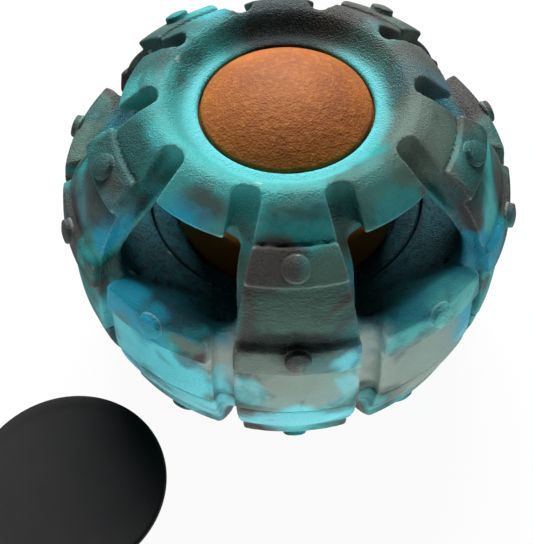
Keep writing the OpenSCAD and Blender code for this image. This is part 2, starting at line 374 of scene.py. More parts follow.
class Profile:
    """Signed distance to a closed outline in the plane of radius and height."""

    GRID = 0.2
    MARGIN = 6.0

    def __init__(self, outline: list[Point], soften: float) -> None:
        """Works the distance out on a fine grid.

        Args:
            outline: the outline's corners, in millimetres.
            soften: how far corners are rounded.
        """
        corners = np.array(outline, dtype=np.float64)
        self.low = corners.min(0) - self.MARGIN
        count = np.ceil((corners.max(0) + self.MARGIN - self.low) / self.GRID).astype(int) + 1
        axes = (self.low[i] + self.GRID * np.arange(count[i]) for i in (0, 1))
        r, z = np.meshgrid(*axes, indexing="ij")
        near = np.full(r.shape, 1e9)
        inside = np.zeros(r.shape, dtype=bool)
        for (ar, az), (br, bz) in zip(corners, np.roll(corners, -1, axis=0)):
            er, ez = br - ar, bz - az
            if er == 0 and ez == 0:
                continue
            t = np.clip(((r - ar) * er + (z - az) * ez) / (er * er + ez * ez), 0, 1)
            near = np.minimum(near, np.hypot(r - ar - t * er, z - az - t * ez))
            if ez != 0:
                inside ^= ((az > z) != (bz > z)) & (r < ar + (z - az) * er / ez)
        self.table = self.softened(np.where(inside, -near, near), soften / self.GRID)

    @staticmethod
    def softened(table: np.ndarray, spread: float) -> np.ndarray:
        """Blurs a table over a number of its cells, which rounds the outline's corners."""
        reach = math.ceil(3 * spread)
        if reach < 1:
            return table
        weights = np.exp(-0.5 * (np.arange(-reach, reach + 1) / spread) ** 2)
        weights /= weights.sum()
        for axis in (0, 1):
            room = [(reach, reach) if i == axis else (0, 0) for i in (0, 1)]
            padded = np.pad(table, room, mode="edge")
            size = table.shape[axis]
            table = sum(w * np.take(padded, range(i, i + size), axis=axis) for i, w in enumerate(weights))
        return table

    def cells(self, values: np.ndarray, axis: int) -> tuple[np.ndarray, np.ndarray]:
        """Cell that each value falls in, and how far through it the value lies."""
        place = np.clip((values - self.low[axis]) / self.GRID, 0, self.table.shape[axis] - 1.001)
        cell = place.astype(int)
        return cell, place - cell

    def over(self, block: Block) -> np.ndarray:
        """The distance at every voxel of a block."""
        row, lift = self.cells(block.heights, 1)
        table = self.table[:, row] * (1 - lift) + self.table[:, row + 1] * lift
        column, lift = self.cells(block.radius, 0)
        lift = lift[..., None]
        return (table[column] * (1 - lift) + table[column + 1] * lift).astype(np.float32)


def settled(made: bpy.types.Object) -> bpy.types.Object:
    """Applies an object's modifiers into a plain mesh, shaded smooth.

    Args:
        made: the object with its modifiers.

    Returns:
        The same object without modifiers.
    """
    depsgraph = bpy.context.evaluated_depsgraph_get()
    result = bpy.data.meshes.new_from_object(made.evaluated_get(depsgraph))
    made.modifiers.clear()
    old = made.data
    made.data = result
    result.name = made.name
    bpy.data.meshes.remove(old)
    result.shade_smooth()
    return made


def lathe(name: str, outline: list[Point], sides: int = 192) -> bpy.types.Object:
    """Turns an open outline that starts and ends on the axis into a closed mesh.

    Args:
        name: the object's name.
        outline: points of radius and height in millimetres, from the bottom's middle outwards and up.
        sides: the number of steps round the axis.

    Returns:
        The object, in metres, at the origin.
    """
    rings = [p for p in outline if p[0] > 1e-6]
    turns = [2 * math.pi / sides * i for i in range(sides)]
    points = [(r * math.cos(a) * MM, r * math.sin(a) * MM, z * MM) for r, z in rings for a in turns]
    first, last = len(points), len(points) + 1
    points += [(0, 0, outline[0][1] * MM), (0, 0, outline[-1][1] * MM)]
    pairs = [(i, (i + 1) % sides) for i in range(sides)]
    top = (len(rings) - 1) * sides
    faces = [(a + i, a + j, a + sides + j, a + sides + i) for a in range(0, top, sides) for i, j in pairs]
    faces += [(first, j, i) for i, j in pairs]
    faces += [(last, top + i, top + j) for i, j in pairs]
    made = meshed(name, points, [], faces)
    made.data.shade_smooth()
    return made


class Growth(Graph):
    """A geometry node tree with named inputs, run once on an object."""

    def __init__(self, name: str, sizes: dict[str, float | int]) -> None:
        """Makes the tree with a geometry input and one input for each size.

        Args:
            name: the tree's name.
            sizes: name and value of each input, whole numbers as counts.
        """
        super().__init__(bpy.data.node_groups.new(name, "GeometryNodeTree"))
        self.sizes = sizes
        face = self.tree.interface
        face.new_socket("Geometry", in_out="INPUT", socket_type="NodeSocketGeometry")
        for label, value in sizes.items():
            kind = "NodeSocketInt" if isinstance(value, int) else "NodeSocketFloat"
            face.new_socket(label, in_out="INPUT", socket_type=kind)
        face.new_socket("Geometry", in_out="OUTPUT", socket_type="NodeSocketGeometry")
        self.source = self.add("NodeGroupInput")

    def size(self, label: str) -> Socket:
        """The output of a named input."""
        return self.source.outputs[label]

    def turns(self, count: Socket, first: Socket) -> Socket:
        """Azimuth of each of a number of copies that stand evenly round the axis."""
        pitch = self.math("DIVIDE", 2 * math.pi, count)
        index = self.add("GeometryNodeInputIndex").outputs[0]
        return self.math("ADD", self.math("MULTIPLY", index, pitch), first)

    def copies(self, shape: Socket, count: Socket, spot: Socket, facing: Socket) -> Socket:
        """Copies of a shape, each at its spot and turned its way."""
        spots = self.add("GeometryNodePoints", {"Count": count, "Position": spot})
        return self.add("GeometryNodeInstanceOnPoints", {
            "Points": spots.outputs[0], "Instance": shape, "Rotation": facing}).outputs[0]

    def joined(self, shapes: list[Socket]) -> Socket:
        """Joins shapes into one geometry."""
        made = self.add("GeometryNodeJoinGeometry")
        for shape in shapes:
            self.tree.links.new(shape, made.inputs[0])
        return made.outputs[0]

    def run(self, made: bpy.types.Object, shape: Socket, finish: bpy.types.Material) -> bpy.types.Object:
        """Ends the tree, runs it on an object and keeps the plain result.

        Args:
            made: the object that carries the input geometry.
            shape: the tree's last geometry.
            finish: the material of the result.

        Returns:
            The object with the result as its mesh.
        """
        real = self.add("GeometryNodeRealizeInstances", {"Geometry": shape})
        smooth = self.add("GeometryNodeSetShadeSmooth", {0: real.outputs[0]})
        dressed = self.add("GeometryNodeSetMaterial", {"Geometry": smooth.outputs[0], "Material": finish})
        self.add("NodeGroupOutput", {"Geometry": dressed.outputs[0]})
        modifier = made.modifiers.new("grow", "NODES")
        modifier.node_group = self.tree
        for item in self.tree.interface.items_tree:
            if item.in_out == "INPUT" and item.name in self.sizes:
                modifier[item.identifier] = self.sizes[item.name]
        return settled(made)


class Paint(Graph):
    """A material's node tree on object coordinates. Its sizes come in millimetres."""

    def __init__(self, name: str) -> None:
        """Makes an empty material.

        Args:
            name: the material's name.
        """
        self.material = bpy.data.materials.new(name)
        self.material.use_nodes = True
        super().__init__(self.material.node_tree)
        self.place = self.add("ShaderNodeTexCoord").outputs["Object"]
        self.axes = self.add("ShaderNodeSeparateXYZ", {0: self.place}).outputs

    def vector(self, kind: str, a: Socket, b: object = (0.0, 0.0, 0.0),
               scale: float = 1.0) -> Socket:
        """Output of a Vector Math node."""
        made = self.add("ShaderNodeVectorMath", {0: a, 1: b, 3: scale}, operation=kind)
        return made.outputs["Value" if kind == "LENGTH" else "Vector"]

    def length(self, a: Socket, b: Socket) -> Socket:
        """Distance that two coordinates at right angles give."""
        return self.vector("LENGTH", self.point(a, b))

    def noise(self, place: Socket, size: float, detail: float = 2.0, rough: float = 0.5,
              twist: float = 0.0, output: str = "Fac") -> Socket:
        """Noise with spots of a size in millimetres."""
        return self.add("ShaderNodeTexNoise", {
            "Vector": place, "Scale": 1 / (size * MM), "Detail": detail, "Roughness": rough,
            "Distortion": twist}).outputs[output]

    def stirred(self, size: float, drag: float) -> Socket:
        """Stirs the coordinates, as batches are folded into each other.

        Args:
            size: size of an eddy in millimetres.
            drag: how far it drags the colours, in millimetres.

        Returns:
            The stirred coordinates.
        """
        eddies = self.noise(self.place, size, output="Color")
        shift = self.vector("SUBTRACT", eddies, (0.5, 0.5, 0.5))
        return self.vector("ADD", self.place, self.vector("SCALE", shift, scale=drag * MM))

    def fade(self, value: Socket, ends: Fade, unit: float = 1.0, soft: bool = False) -> Socket:
        """Share that grows from nothing at one value to its full size at another.

        Args:
            value: the value that decides.
            ends: the value for nothing, the value for the full share, and the full share.
            unit: the unit of both values.
            soft: whether the share eases in and out.

        Returns:
            The share.
        """
        none, whole, full = ends
        return self.add("ShaderNodeMapRange", {
            "Value": value, "From Min": none * unit, "From Max": whole * unit, "To Max": full},
            interpolation_type="SMOOTHSTEP" if soft else "LINEAR").outputs[0]

    def between(self, share: Socket, low: float, high: float) -> Socket:
        """Turns a share into a value between two others."""
        return self.add("ShaderNodeMapRange", {
            "Value": share, "To Min": low, "To Max": high}).outputs[0]

    def product(self, *shares: object) -> Socket:
        """Shares multiplied with each other, from the first on."""
        return functools.reduce(lambda a, b: self.math("MULTIPLY", a, b), shares)

    def mixed(self, share: Socket, under: Socket | str, over: Socket | str) -> Socket:
        """Mixes two colours, sockets or hex digits, by a share."""
        ends = [linear(c) if isinstance(c, str) else c for c in (under, over)]
        return self.add("ShaderNodeMix", {"Factor": share, 6: ends[0], 7: ends[1]},
                        data_type="RGBA").outputs[2]

    def ramp(self, value: Socket, stops: tuple[tuple[float, str], ...]) -> Socket:
        """Colours along a value, from places and hex digits."""
        made = self.add("ShaderNodeValToRGB", {"Fac": value})
        elements = made.color_ramp.elements
        while len(elements) < len(stops):
            elements.new(0.5)
        for element, (at, colour) in zip(elements, stops):
            element.position = at
            element.color = linear(colour)
        return made.outputs["Color"]

    def skin(self, colour: Socket, height: Socket, relief: Point, rough: Socket | float, ior: float,
             gloss: float) -> bpy.types.Material:
        """Ends the tree with a bumped skin.

        Args:
            colour: its colour.
            height: height of its grain.
            relief: share of the grain that shows, and its depth in millimetres.
            rough: its roughness.
            ior: its refractive index.
            gloss: level of its shine.

        Returns:
            The material.
        """
        strength, depth = relief
        bump = self.add("ShaderNodeBump", {
            "Height": height, "Strength": strength, "Distance": depth * MM})
        shader = self.add("ShaderNodeBsdfPrincipled", {
            "Base Color": colour, "Normal": bump.outputs[0], "Roughness": rough, "IOR": ior,
            "Specular IOR Level": gloss})
        self.add("ShaderNodeOutputMaterial", {"Surface": shader.outputs[0]})
        return self.material


@dataclass(frozen=True)
class Swirl:
    """A cloud of one colour in the marbling, round a point of the ball.

    Azimuth in degrees, the rest in millimetres. The flatness stretches it sideways.
    """

    azimuth: float
    radius: float
    height: float
    reach: float
    colour: str
    strength: float = 1.0
    flatness: float = 1.0

    @property
    def centre(self) -> tuple[float, float, float]:
        """The cloud's middle, in metres."""
        a = math.radians(self.azimuth)
        return (self.radius * math.sin(a) * MM, -self.radius * math.cos(a) * MM, self.height * MM)


@dataclass(frozen=True)
class MarbledRubber:
    """Moulded natural rubber, marbled from several batches, with a matt grained skin.

    The grain scatters light, so highlights are wide and soft. Sizes are in millimetres.
    """

    black: str = "#0d1a1b"
    umber: str = "#3b3735"
    moss: str = "#3d6056"
    stone: str = "#566a60"
    beige: str = "#7b9086"
    pine: str = "#154b49"
    lagoon: str = "#0c8584"
    teal: str = "#38a09e"
    deep: str = "#0f7888"
    sea: str = "#4fb3ae"
    cyan: str = "#0596b4"
    bright: str = "#62d3de"
    abyss: str = "#073a46"
    # Pale colour of the painted highlights on edges and of the painted sheen in the lower grooves.
    sheen_pale: str = "#b4c4bc"
    cloud: Spots = (26.0, 2.5, 0.45, 0.5)
    cloud_fold: Point = (40.0, 45.0)
    cloud_stops: tuple[tuple[float, str], ...] = (
        (0.33, "black"), (0.41, "umber"), (0.45, "moss"), (0.49, "pine"),
        (0.54, "lagoon"), (0.60, "teal"), (0.66, "cyan"), (0.72, "bright"))
    wisp_fold: Point = (14.0, 8.0)
    fray: Spots = (9.0, 4.0)
    fray_fold: Point = (9.0, 8.0)
    frayed_share: float = 1.1
    swirl_end: float = 1.68
    swirl_full: float = 1.12
    smear: Spots = (15.0, 4.0, 0.55)
    smear_fold: Point = (22.0, 24.0)
    smear_fade: Fade = (0.43, 0.3, 0.5)
    bloom: Spots = (1.1, 4.0, 0.7)
    bloom_fade: Fade = (0.5, 0.8, 0.14)
    thread: Spots = (1.6, 3.0, 0.5, 1.4)
    thread_fold: Point = (7.0, 9.0)
    thread_fade: Fade = (0.46, 0.62, 1.0)
    thread_r: Fade = (47.0, 44.0, 0.75)
    thread_h: Fade = (64.0, 58.0, 1.0)
    shoulder_c: Point = (24.9, 45.9)
    # Painted shade on the wall's inner face, below the dish.
    inner_shade_r: Fade = (25.0, 22.9, 0.9)
    inner_shade_h: Fade = (70.5, 69.0, 1.0)
    lip_fray: float = 4.0
    lip_r: Fade = (27.7, 22.7, 1.0)
    lip_h: Fade = (70.0, 70.6, 1.0)
    lip_y: Fade = (20.0, 12.0, 0.85)
    # Pointiness where painted shade fills creases, and where painted highlights start on edges.
    crease_shade_fade: Fade = (0.485, 0.44, 0.55)
    edge_highlight_fade: Fade = (0.53, 0.6, 0.42)
    seam_h: float = 28.8
    seam_away: Fade = (0.45, 0.15, 0.9)
    grain: Spots = (0.45, 3.0, 0.6)
    relief: Point = (1.0, 0.45)
    ripple: Spots = (1.5, 2.0, 0.5, 1.2)
    ripple_stretch: tuple[float, float, float] = (0.45, 0.45, 1.6)
    ripple_low: Fade = (57.0, 58.0, 1.0)
    ripple_high: Fade = (67.0, 66.0, 1.0)
    ripple_share: float = 0.35
    roughness: float = 0.5
    roughness_spread: float = 0.12
    ior: float = 1.52
    gloss: float = 0.22
    swirls: tuple[Swirl, ...] = (
        Swirl(-60, 22, 80, 42, "teal", 0.85, 2.4),
        Swirl(140, 30, 79, 26, "stone", 0.7, 1.6),
        Swirl(178, 29, 77, 17, "black", 0.95),
        Swirl(150, 33, 75, 12, "umber", 0.9),
        Swirl(96, 33, 76, 15, "umber", 0.8),
        Swirl(66, 32, 77, 12, "stone", 0.85),
        Swirl(34, 31, 78, 10, "moss", 0.6),
        Swirl(0, 37, 73, 9, "lagoon", 0.95, 1.6),
        Swirl(-33, 35, 75, 6, "umber", 0.8, 1.5),
        Swirl(-38, 38, 71, 8, "cyan", 1.0, 1.4),
        Swirl(-72, 38, 73, 11, "pine", 0.95),
        Swirl(-125, 38, 74, 14, "pine", 0.9),
        Swirl(38, 38, 72, 8, "lagoon", 0.6, 1.4),
        Swirl(50, 38, 72, 4, "umber", 0.9),
        Swirl(-7, 45, 70, 8, "umber", 1.0),
        Swirl(-3, 43, 71, 4, "umber", 0.9),
        Swirl(9, 45, 70, 7, "moss", 0.95),
        Swirl(0, 51, 62, 11, "moss", 0.95, 1.2),
        Swirl(12, 54, 57, 5, "umber", 0.55, 0.7),
        # Flattened black band: painted shade on the front belt plate's upper ledge.
        Swirl(0, 53, 55, 9, "black", 0.85, 3.2),
        Swirl(-8, 56, 50, 7, "stone", 0.95, 1.4),
        Swirl(8, 56, 50, 8, "umber", 0.65, 1.4),
        Swirl(11, 56, 50, 4, "bright", 0.7),
        Swirl(0, 55, 38, 15, "beige", 0.85, 1.3),
        Swirl(-13, 55, 38, 6, "bright", 0.5),
        Swirl(12, 55, 38, 3, "bright", 0.5, 0.5),
        Swirl(0, 52, 22, 13, "bright", 0.8, 1.4),
        # Painted sheen on the lower groove floors either side of the front rib.
        Swirl(-19, 50, 44, 6, "sheen_pale", 0.6, 0.45),
        Swirl(19, 50, 44, 6, "sheen_pale", 0.75, 0.45),
        Swirl(-36, 42, 54, 17, "deep", 1.0),
        Swirl(-34, 46, 55, 10, "abyss", 0.9),
        Swirl(-20, 51, 60, 4, "cyan", 0.9, 0.5),
        Swirl(-54, 50, 62, 7, "cyan", 0.9),
        Swirl(-46, 54, 51, 8, "cyan", 0.95),
        Swirl(-34, 54, 55, 5, "cyan", 0.9, 2.0),
        Swirl(-44, 56, 49, 4, "stone", 0.9, 1.3),
        Swirl(-27, 56, 50, 5, "stone", 0.9, 1.6),
        Swirl(-30, 55, 37, 12, "bright", 0.9, 1.2),
        Swirl(-48, 55, 38, 12, "bright", 0.85),
        Swirl(-54, 55, 45, 6, "umber", 0.85),
        Swirl(-26, 55, 43, 4, "umber", 0.6),
        Swirl(-30, 52, 22, 14, "bright", 0.9),
        Swirl(36, 42, 54, 19, "deep", 1.0),
        Swirl(42, 40, 62, 9, "abyss", 0.85),
        Swirl(40, 56, 50, 10, "sea", 0.9, 1.4),
        Swirl(26, 56, 50, 6, "teal", 0.9, 1.4),
        Swirl(32, 55, 37, 14, "beige", 0.9, 1.2),
        Swirl(50, 55, 42, 7, "cyan", 0.7),
        Swirl(40, 52, 22, 13, "beige", 0.9),
        Swirl(60, 51, 56, 9, "cyan", 0.85),
        Swirl(66, 50, 60, 6, "sea", 0.8),
        Swirl(58, 48, 65, 6, "umber", 0.95),
        Swirl(70, 46, 69, 9, "pine", 0.9),
        Swirl(76, 53, 55, 8, "umber", 0.9),
        Swirl(-66, 47, 67, 9, "umber", 0.8),
        Swirl(-76, 46, 68, 8, "pine", 0.9),
        Swirl(-72, 51, 60, 10, "umber", 0.75),
        Swirl(-76, 54, 50, 12, "umber", 0.9),
        Swirl(-68, 54, 40, 9, "lagoon", 0.85),
    )

    def build(self, name: str) -> bpy.types.Material:
        """Makes the material.

        Args:
            name: the material's name.

        Returns:
            The material.
        """
        paint = Paint(name)
        flow = paint.stirred(*self.wisp_fold)
        fray = paint.noise(paint.stirred(*self.fray_fold), *self.fray)
        colour = self.clouds(paint)
        for cloud in self.swirls:
            colour = self.swirl(paint, flow, fray, colour, cloud)
        colour = self.mottle(paint, colour)
        colour = self.inside(paint, fray, colour)
        colour = self.lip(paint, fray, colour)
        colour = self.edge_shade_and_highlight(paint, colour)
        colour = self.seam(paint, colour)
        height = self.grained(paint)
        rough = paint.between(height, self.roughness - self.roughness_spread,
                              self.roughness + self.roughness_spread)
        return paint.skin(colour, height, self.relief, rough, self.ior, self.gloss)

    def clouds(self, paint: Paint) -> Socket:
        """Colours of the marbling away from the named swirls."""
        noise = paint.noise(paint.stirred(*self.cloud_fold), *self.cloud)
        return paint.ramp(noise, tuple((at, getattr(self, shade)) for at, shade in self.cloud_stops))

    def swirl(self, paint: Paint, flow: Socket, fray: Socket, under: Socket, cloud: Swirl) -> Socket:
        """Lays one named swirl with a frayed edge over the colours under it.

        Args:
            paint: the material's tree.
            flow: the stirred coordinates.
            fray: the noise that frays its edge.
            under: the colours under it.
            cloud: the swirl.

        Returns:
            The colours with it.
        """
        offset = paint.vector("SUBTRACT", flow, cloud.centre)
        if cloud.flatness != 1.0:
            offset = paint.vector("MULTIPLY", offset, (1, 1, cloud.flatness))
        reach = cloud.reach * MM
        away = paint.vector("LENGTH", offset)
        torn = paint.math("MULTIPLY_ADD", fray, self.frayed_share * reach, away)
        ends = (self.swirl_end, self.swirl_full, cloud.strength)
        share = paint.fade(torn, ends, reach, soft=True)
        return paint.mixed(share, under, getattr(self, cloud.colour))

    def mottle(self, paint: Paint, under: Socket) -> Socket:
        """Smoky smears inside each batch, and the pale bloom of the mould."""
        smear = paint.noise(paint.stirred(*self.smear_fold), *self.smear)
        under = paint.mixed(paint.fade(smear, self.smear_fade, soft=True), under, self.black)
        bloom = paint.noise(paint.place, *self.bloom)
        return paint.mixed(paint.fade(bloom, self.bloom_fade), under, self.beige)

    def inside(self, paint: Paint, fray: Socket, under: Socket) -> Socket:
        """Painted shade on the wall's inner face, in deep and abyss teal, with fine feathery threads in
        the bowl under the windows.
        """
        x, y, height = paint.axes
        out = paint.length(x, y)
        wave = paint.noise(paint.stirred(*self.thread_fold), *self.thread)
        threads = paint.product(paint.fade(wave, self.thread_fade),
                                paint.fade(out, self.thread_r, MM), paint.fade(height, self.thread_h, MM))
        centre_r, centre_h = self.shoulder_c
        away = paint.length(paint.math("SUBTRACT", out, centre_r * MM),
                            paint.math("SUBTRACT", height, centre_h * MM))
        # Painted shade: the inner face of the wall below the dish turns dark teal.
        inner = paint.product(paint.fade(away, self.inner_shade_r, MM), paint.fade(height, self.inner_shade_h, MM))
        under = paint.mixed(inner, under, paint.mixed(fray, self.deep, self.abyss))
        return paint.mixed(threads, under, self.black)

    def lip(self, paint: Paint, fray: Socket, under: Socket) -> Socket:
        """Keeps the mouth's lip in the brightest batch, except at the back."""
        x, y, height = paint.axes
        torn = paint.math("MULTIPLY_ADD", fray, self.lip_fray * MM, paint.length(x, y))
        share = paint.product(paint.fade(torn, self.lip_r, MM, soft=True),
                              paint.fade(height, self.lip_h, MM), paint.fade(y, self.lip_y, MM, soft=True))
        return paint.mixed(share, under, paint.mixed(fray, self.teal, self.bright))

    def edge_shade_and_highlight(self, paint: Paint, under: Socket) -> Socket:
        """Painted shade in the creases, and painted highlights along the edges of plates and grooves,
        found by pointiness.
        """
        bend = paint.add("ShaderNodeNewGeometry").outputs["Pointiness"]
        # Painted shade where the surface folds in; painted highlight where it bends out.
        under = paint.mixed(paint.fade(bend, self.crease_shade_fade), under, self.black)
        return paint.mixed(paint.fade(bend, self.edge_highlight_fade), under, self.sheen_pale)

    def seam(self, paint: Paint, under: Socket) -> Socket:
        """Dark line of the joint between shell and base, where dirt and shadow gather."""
        away = paint.math("ABSOLUTE", paint.math("SUBTRACT", paint.axes[2], self.seam_h * MM))
        return paint.mixed(paint.fade(away, self.seam_away, MM), under, self.black)

    def grained(self, paint: Paint) -> Socket:
        """Height of the moulded grain, a little rippled on the ribs between their plates."""
        fine = paint.noise(paint.place, *self.grain)
        ripple = paint.noise(paint.vector("MULTIPLY", paint.place, self.ripple_stretch), *self.ripple)
        height = paint.axes[2]
        share = paint.product(paint.fade(height, self.ripple_low, MM),
                              paint.fade(height, self.ripple_high, MM), self.ripple_share)
        return paint.add("ShaderNodeMix", {"Factor": share, 2: fine, 3: ripple}).outputs[0]


@dataclass(frozen=True)
class MouldedTreat:
    """Baked meat paste pressed in a smooth mould: dry, finely cracked, darker where it browned; its paler
    lower sides are painted light over their shade.
    """

    crust: str = "#9c560d"
    brown: str = "#7f3f06"
    pale: str = "#bf7a2a"
    pit: str = "#6f3608"
    # Pale orange of the painted light on the treat's shaded lower sides.
    side: str = "#d88a3a"
    tone: Spots = (18.0, 4.0)
    tone_at: Point = (0.35, 0.65)
    crumb: Spots = (1.4, 4.0, 0.6)
    crumb_fade: Fade = (0.5, 0.8, 0.5)
    crack: float = 0.45
    crack_fade: Fade = (0.45, 0.8, 0.45)
    crack_depth: float = -0.5
    lit_side_h: Fade = (73.0, 64.0, 0.7)
    relief: Point = (0.8, 0.3)
    roughness: float = 0.7
    ior: float = 1.45
    gloss: float = 0.35

    def build(self, name: str) -> bpy.types.Material:
        """Makes the material.

        Args:
            name: the material's name.

        Returns:
            The material.
        """
        paint = Paint(name)
        browned, baked = self.tone_at
        tone = paint.noise(paint.place, *self.tone)
        colour = paint.ramp(tone, ((browned, self.brown), (baked, self.crust)))
        grit = paint.add("ShaderNodeTexVoronoi", {"Vector": paint.place, "Scale": 1 / (self.crack * MM)},
                         feature="SMOOTH_F1").outputs["Distance"]
        crumbs = paint.noise(paint.place, *self.crumb)
        colour = paint.mixed(paint.fade(grit, self.crack_fade), colour, self.pit)
        colour = paint.mixed(paint.fade(crumbs, self.crumb_fade), colour, self.pale)
        # Painted light: the sides below the lip get paler towards the bottom.
        colour = paint.mixed(paint.fade(paint.axes[2], self.lit_side_h, MM), colour, self.side)
        height = paint.math("MULTIPLY_ADD", grit, self.crack_depth, crumbs)
        return paint.skin(colour, height, self.relief, self.roughness, self.ior, self.gloss)


@dataclass(frozen=True)
class BlackSilicone:
    """Compression-moulded black silicone: deep black with a soft satin sheen and faint dust."""

    black: str = "#0b0b0c"
    dust: str = "#1a1a1c"
    haze: Spots = (9.0, 5.0)
    grain: Spots = (0.5,)
    relief: Point = (0.25, 0.08)
    roughness: Point = (0.52, 0.7)
    ior: float = 1.42
    gloss: float = 0.2

    def build(self, name: str) -> bpy.types.Material:
        """Makes the material.

        Args:
            name: the material's name.

        Returns:
            The material.
        """
        paint = Paint(name)
        haze = paint.noise(paint.place, *self.haze)
        colour = paint.mixed(haze, self.black, self.dust)
        rough = paint.between(haze, *self.roughness)
        height = paint.noise(paint.place, *self.grain)
        return paint.skin(colour, height, self.relief, rough, self.ior, self.gloss)


def ready(made: bpy.types.Object, finish: bpy.types.Material, body: Body,
          node: str | None = None) -> bpy.types.Object:
    """Dresses a piece, sets the body it rides on and hides the CAD part it replaces.

    Args:
        made: the piece.
        finish: its material.
        body: the body it rides on.
        node: the CAD node it replaces, if it does.

    Returns:
        The piece.
    """
    made.data.materials.clear()
    made.data.materials.append(finish)
    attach(made, body.value)
    if node:
        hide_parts(node)
    log.info("%s: %d faces on %s", made.name, len(made.data.polygons), body.value)
    return made


@dataclass
class Rivets:
    """Rows of moulded rivet heads, in millimetres."""

    radius: float = 2.9
    height: float = 1.78
    edge: float = 0.5
    edge_turn: float = 72.0
    edge_steps: int = 5
    crown: float = 0.45
    crown_in: float = 0.4
    crown_low: float = 0.03
    crown_shares: tuple[float, ...] = (0.75, 0.5, 0.25, 0.0)
    root: float = 0.6
    fillet: tuple[Point, Point] = ((0.25, 0.0), (0.05, 0.2))
    sides: int = 40

    def head(self, name: str) -> bpy.types.Object:
        """One head, standing on the origin: steep sides, a small rounding and a shallow dome."""
        shoulder = self.height - self.crown - self.edge
        side = [(self.radius + out, up) for out, up in self.fillet]
        centre = (self.radius - self.edge, shoulder)
        rounding = circle_arc(centre, self.edge, 0, self.edge_turn, self.edge_steps)
        top_r, top = self.radius - self.crown_in, self.height - self.crown_low
        dome = [(top_r * s, top - self.crown * s * s) for s in self.crown_shares]
        foot = [(0, -self.root), (side[0][0], -self.root)]
        return lathe(name, [*foot, *side, *rounding, *dome], self.sides)

    def rows(self, name: str, rows: dict[float, tuple[int, float, Point]],
             finish: bpy.types.Material) -> bpy.types.Object:
        """Sets the heads on their plates.

        Args:
            name: the piece's name.
            rows: for each slope, how many heads, the first one's azimuth and the point they stand on.
            finish: the rubber.

        Returns:
            All heads as one mesh.
        """
        sizes: dict[str, float | int] = {}
        for row, (slope, (count, first, (radius, height))) in enumerate(rows.items()):
            sizes |= {f"Count {row}": count, f"Ring radius {row}": radius * MM,
                      f"Ring height {row}": height * MM, f"Tilt {row}": math.radians(90 - slope),
                      f"First {row}": math.radians(first)}
        growth = Growth(name, sizes)
        heads = [self.row(growth, row) for row in range(len(rows))]
        return growth.run(self.head(name), growth.joined(heads), finish)

    def row(self, growth: Growth, row: int) -> Socket:
        """Copies the head round one ring."""
        count, ring = growth.size(f"Count {row}"), growth.size(f"Ring radius {row}")
        turn = growth.turns(count, growth.size(f"First {row}"))
        x = growth.math("MULTIPLY", growth.math("SINE", turn), ring)
        y = growth.math("MULTIPLY", growth.math("MULTIPLY", growth.math("COSINE", turn), ring), -1.0)
        spot = growth.point(x, y, growth.size(f"Ring height {row}"))
        facing = growth.point(growth.size(f"Tilt {row}"), 0.0, turn)
        return growth.copies(growth.source.outputs["Geometry"], count, spot, facing)


@dataclass(frozen=True)
class Thread:
    """A three-start screw ridge round the closure, in millimetres. Its low end counts from the seam."""

    low: float
    height: float
    depth: float
    first: float = 0.0
    inward: bool = False
    starts: int = 3
    lead: float = 12.0
    half_width: float = 0.8
    root: float = 0.5
    flank: tuple[Point, Point] = ((0.8, 0.5), (1.0, 0.2))
    resolution: int = 72
    fewest_steps: int = 12

    def ridge(self, name: str, radius: float, seam_h: float,
              finish: bpy.types.Material) -> bpy.types.Object:
        """Grows the ridges along their helices.

        Args:
            name: the piece's name.
            radius: radius of the wall that carries the ridges.
            seam_h: height of the seam.
            finish: the rubber.

        Returns:
            All ridges as one mesh.
        """
        growth = Growth(name, {
            "Radius": radius * MM, "Height": self.height * MM, "Low": (seam_h + self.low) * MM,
            "Turns": self.height / self.lead, "Starts": self.starts, "Offset": math.radians(self.first)})
        wall = growth.size("Radius")
        path = growth.add("GeometryNodeCurveSpiral", {
            "Resolution": max(self.fewest_steps, int(self.resolution * self.height / self.lead)),
            "Rotations": growth.size("Turns"), "Start Radius": wall, "End Radius": wall,
            "Height": growth.size("Height")})
        section = growth.add("GeometryNodeMeshToCurve", {0: growth.source.outputs["Geometry"]})
        upright = growth.add("GeometryNodeSetCurveNormal", {"Curve": path.outputs[0]}, mode="Z_UP")
        ridge = growth.add("GeometryNodeCurveToMesh", {
            "Curve": upright.outputs[0], "Profile Curve": section.outputs[0], "Fill Caps": True})
        starts = growth.size("Starts")
        spot = growth.point(z=growth.size("Low"))
        facing = growth.point(z=growth.turns(starts, growth.size("Offset")))
        copies = growth.copies(ridge.outputs[0], starts, spot, facing)
        return growth.run(self.section(name), copies, finish)

    def section(self, name: str) -> bpy.types.Object:
        """Closed outline of one ridge, rooted in its wall."""
        side = -1.0 if self.inward else 1.0
        half = [(-self.root, 1.0), (0.0, 1.0), *((out * self.depth, share) for out, share in self.flank)]
        shape = [(x, -share) for x, share in half] + half[::-1]
        points = [(side * x * MM, share * self.half_width * MM, 0) for x, share in shape]
        return meshed(name, points, [(i, (i + 1) % len(points)) for i in range(len(points))], [])


